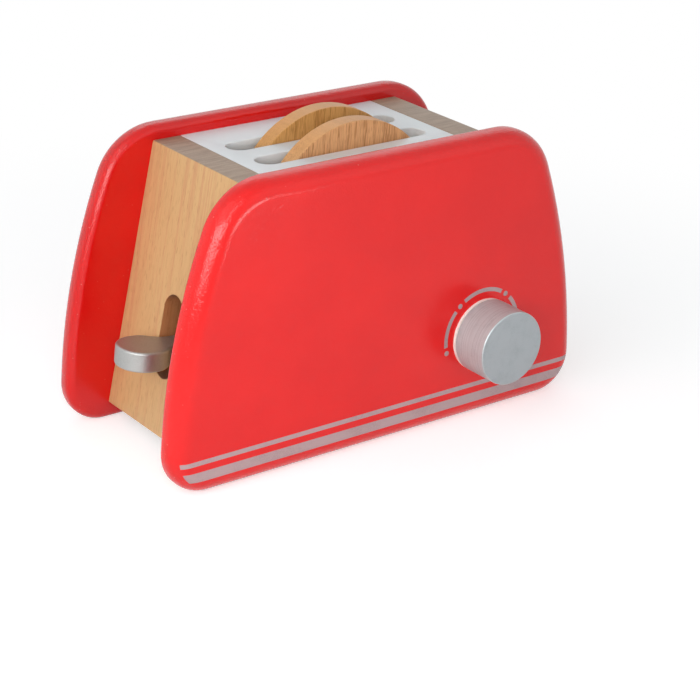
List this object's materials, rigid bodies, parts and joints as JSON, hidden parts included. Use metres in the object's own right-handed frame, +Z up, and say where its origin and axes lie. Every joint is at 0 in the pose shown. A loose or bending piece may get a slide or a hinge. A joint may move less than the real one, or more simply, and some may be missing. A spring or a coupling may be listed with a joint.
{
  "type": "toy toaster",
  "caption": "Wooden toy toaster with red side panels, a slotted white top, loose toast slices on a sliding lift with a side lever, and a turning knob.",
  "frame": {"origin": "middle of the footprint box, knob included, on the surface that the toaster stands on", "axes": "+X along the toaster away from the lever end, -Y out of the front panel with the knob, +Z up"},
  "size_m": [0.206, 0.113, 0.1298],
  "materials": {
    "red_paint": "satin red paint on fibreboard, slightly orange-peeled",
    "beech": "sanded beech, clear lacquer",
    "white_paint": "satin white paint on fibreboard",
    "toast_beech": "sanded beech, clear lacquer",
    "silver_paint": "metallic silver paint on turned or sawn beech",
    "plywood": "bare birch plywood",
    "dowel": "bare beech dowel",
    "cleat": "bare pine batten",
    "rubber_ring": "matt black rubber",
    "zinc_screw": "bright zinc plated",
    "washer_plastic": "natural nylon sheet"
  },
  "bodies": {
    "housing": {"front_panel": "red_paint", "back_panel": "red_paint", "lever_end_board": "beech", "knob_end_board": "beech", "top_board": "white_paint", "floor_board": "plywood", "floor_cleats": "cleat", "floor_screws": "zinc_screw", "end_board_dowels": "dowel", "top_board_dowels": "dowel", "guide_rods": "dowel", "knob_washer": "washer_plastic"},
    "lift": {"toast_carriage": "beech", "grip_rings": "rubber_ring", "lever": "silver_paint", "lever_screws": "zinc_screw"},
    "front_toast": {"toast_slice_front": "toast_beech"},
    "rear_toast": {"toast_slice_rear": "toast_beech"},
    "knob": {"knob": "silver_paint", "knob_screw": "zinc_screw", "knob_screw_washer": "zinc_screw"}
  },
  "joints": [
    {"name": "lift_slide", "type": "slide", "parent": "housing", "child": "lift", "axis": [0, 0, 1], "range_m": [-0.0045, 0.015]},
    {"name": "knob_turn", "type": "hinge", "parent": "housing", "child": "knob", "pos_m": [0.0496, -0.0405, 0.0376], "axis": [0, -1, 0], "continuous": true},
    {"name": "front_toast_lift", "type": "slide", "parent": "lift", "child": "front_toast", "axis": [0, 0, 1], "range_m": [0, 0.08]},
    {"name": "rear_toast_lift", "type": "slide", "parent": "lift", "child": "rear_toast", "axis": [0, 0, 1], "range_m": [0, 0.08]}
  ]
}
